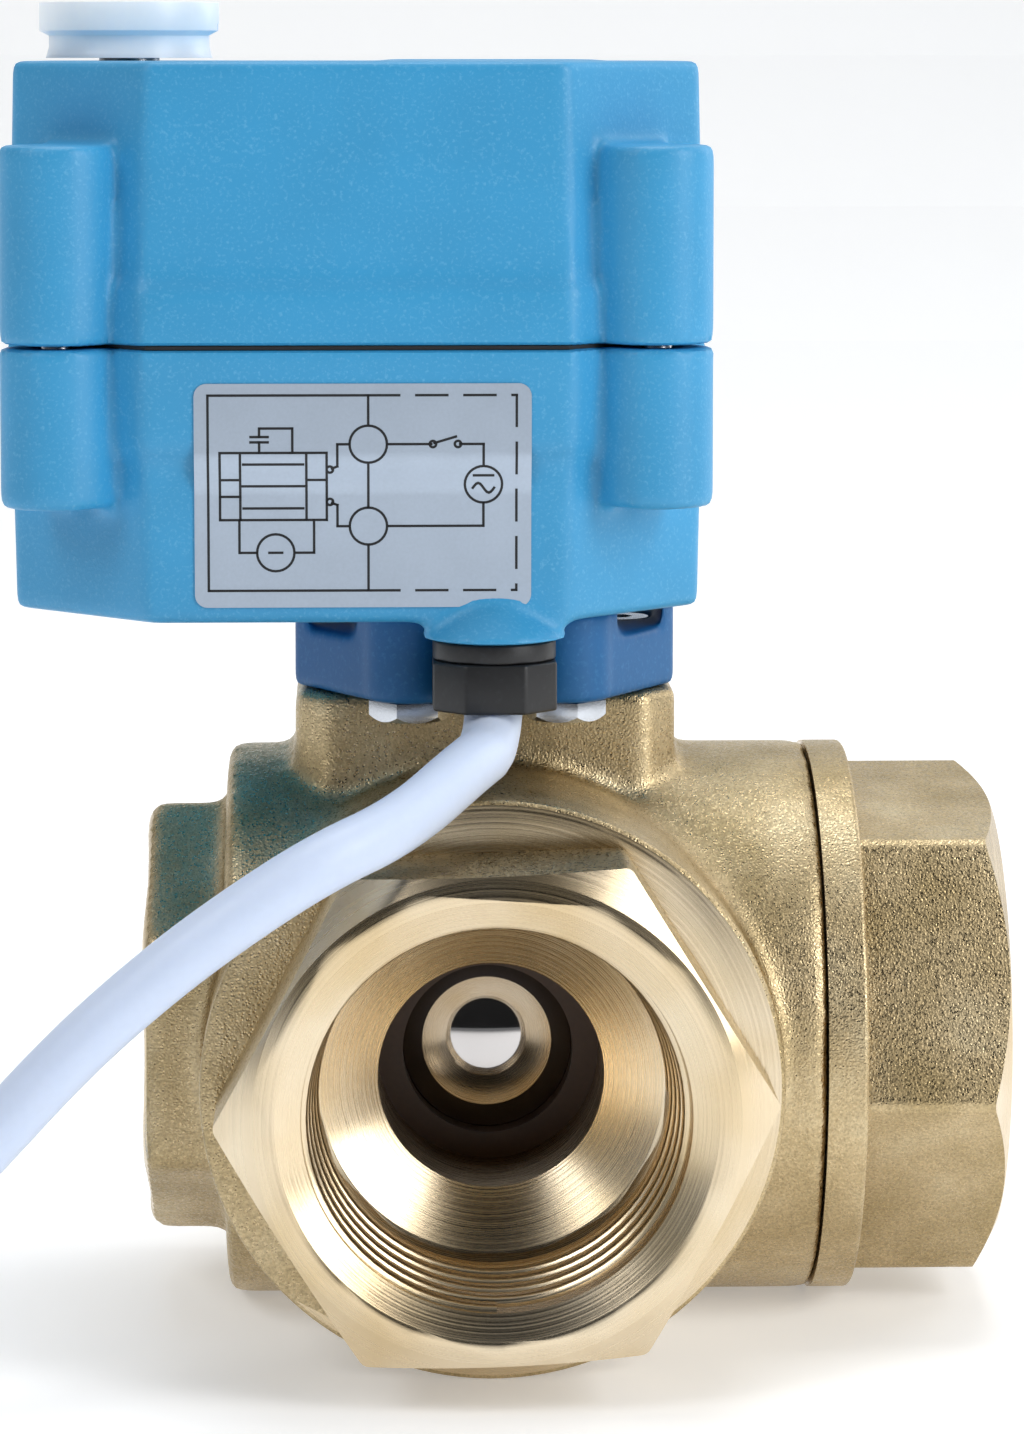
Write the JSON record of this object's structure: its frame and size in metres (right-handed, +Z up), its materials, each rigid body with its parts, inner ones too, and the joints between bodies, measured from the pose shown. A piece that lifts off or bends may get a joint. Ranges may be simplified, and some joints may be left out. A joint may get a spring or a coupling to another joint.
{
  "type": "zone valve",
  "caption": "Motorised three-way ball valve: brass body with threaded ports left, right and front, blue gear actuator on top with manual knob, label and two-core cable.",
  "frame": {"origin": "middle of the valve's base, under the brass body, measured without the cable", "axes": "+X out of the right port along the straight way, -Y out of the front branch port, +Z up the stem to the actuator"},
  "size_m": [0.1788, 0.0876, 0.129],
  "materials": {
    "brass_forged": "grit-blasted",
    "brass_turned": "turned",
    "ball_chrome": "polished",
    "seat_ptfe": "satin",
    "rubber_black": "matt",
    "housing_blue": "fine-textured",
    "bracket_blue": "smooth moulded",
    "gland_black": "satin",
    "zinc_steel": "zinc-plated",
    "plate_steel": "stamped",
    "label_silver": "printed film",
    "acetal_white": "moulded",
    "bush_bronze": "sintered",
    "switch_black": "moulded",
    "board_green": "solder resist",
    "part_blue": "sleeved",
    "terminal_green": "moulded",
    "knob_milky": "translucent",
    "cable_white": "extruded",
    "core_red": "extruded",
    "core_black": "extruded"
  },
  "bodies": {
    "valve": {"valve_body": "brass_forged", "right_end_cap": "brass_forged", "front_end_cap": "brass_turned", "cap_gaskets": "rubber_black", "left_seat": "seat_ptfe", "right_seat": "seat_ptfe", "front_seat": "seat_ptfe", "thrust_washer": "seat_ptfe", "mounting_bracket": "bracket_blue", "bracket_bolts": "zinc_steel", "pad_screws": "zinc_steel", "lower_housing": "housing_blue", "upper_housing": "housing_blue", "housing_gasket": "rubber_black", "cover_screws": "zinc_steel", "cable_gland": "gland_black", "gland_nut": "gland_black", "wiring_label": "label_silver", "gear_plate": "plate_steel", "plate_posts": "zinc_steel", "gear_axles": "zinc_steel", "plate_bush": "bush_bronze", "shaft_bush": "acetal_white", "drive_motor": "plate_steel", "limit_switches": "switch_black", "switch_levers": "plate_steel", "circuit_board": "board_green", "board_capacitor": "part_blue", "board_relay": "switch_black", "terminal_block": "terminal_green", "knob_seal": "rubber_black", "cable": "cable_white", "cable_coil": "cable_white", "core_red": "core_red", "core_black": "core_black"},
    "ball_drive": {"ball": "ball_chrome", "stem": "brass_turned", "stem_orings": "rubber_black", "output_shaft": "zinc_steel", "output_gear": "acetal_white", "lower_cam": "acetal_white", "upper_cam": "acetal_white"},
    "idler": {"idler_gear": "acetal_white"},
    "reducer": {"reducer_gear": "acetal_white"},
    "motor_rotor": {"motor_pinion": "bush_bronze", "motor_shaft": "zinc_steel"},
    "override_knob": {"manual_knob": "knob_milky", "knob_shaft": "zinc_steel", "knob_gear": "acetal_white"}
  },
  "joints": [
    {"name": "valve_turn", "type": "hinge", "parent": "valve", "child": "ball_drive", "pos_m": [-0.0022, 0.0095, 0.0724], "axis": [0, 0, 1], "range_deg": [0, 90]},
    {"name": "idler_turn", "type": "hinge", "parent": "valve", "child": "idler", "pos_m": [-0.0197, 0.01371, 0.0774], "axis": [0, 0, 1], "range_deg": [-360, 0]},
    {"name": "reducer_turn", "type": "hinge", "parent": "valve", "child": "reducer", "pos_m": [-0.0222, -0.00047, 0.0834], "axis": [0, 0, 1], "range_deg": [0, 1080]},
    {"name": "motor_turn", "type": "hinge", "parent": "valve", "child": "motor_rotor", "pos_m": [-0.0118, -0.00647, 0.0854], "axis": [0, 0, 1], "range_deg": [-3240, 0]},
    {"name": "knob_turn", "type": "hinge", "parent": "valve", "child": "override_knob", "pos_m": [-0.0372, 0.0095, 0.1254], "axis": [0, 0, 1], "range_deg": [0, 540]}
  ],
  "couplings": [
    {"joint": "valve_turn", "follows": "knob_turn", "ratio": 0.16667},
    {"joint": "idler_turn", "follows": "knob_turn", "ratio": -0.66667},
    {"joint": "reducer_turn", "follows": "knob_turn", "ratio": 2},
    {"joint": "motor_turn", "follows": "knob_turn", "ratio": -6}
  ]
}
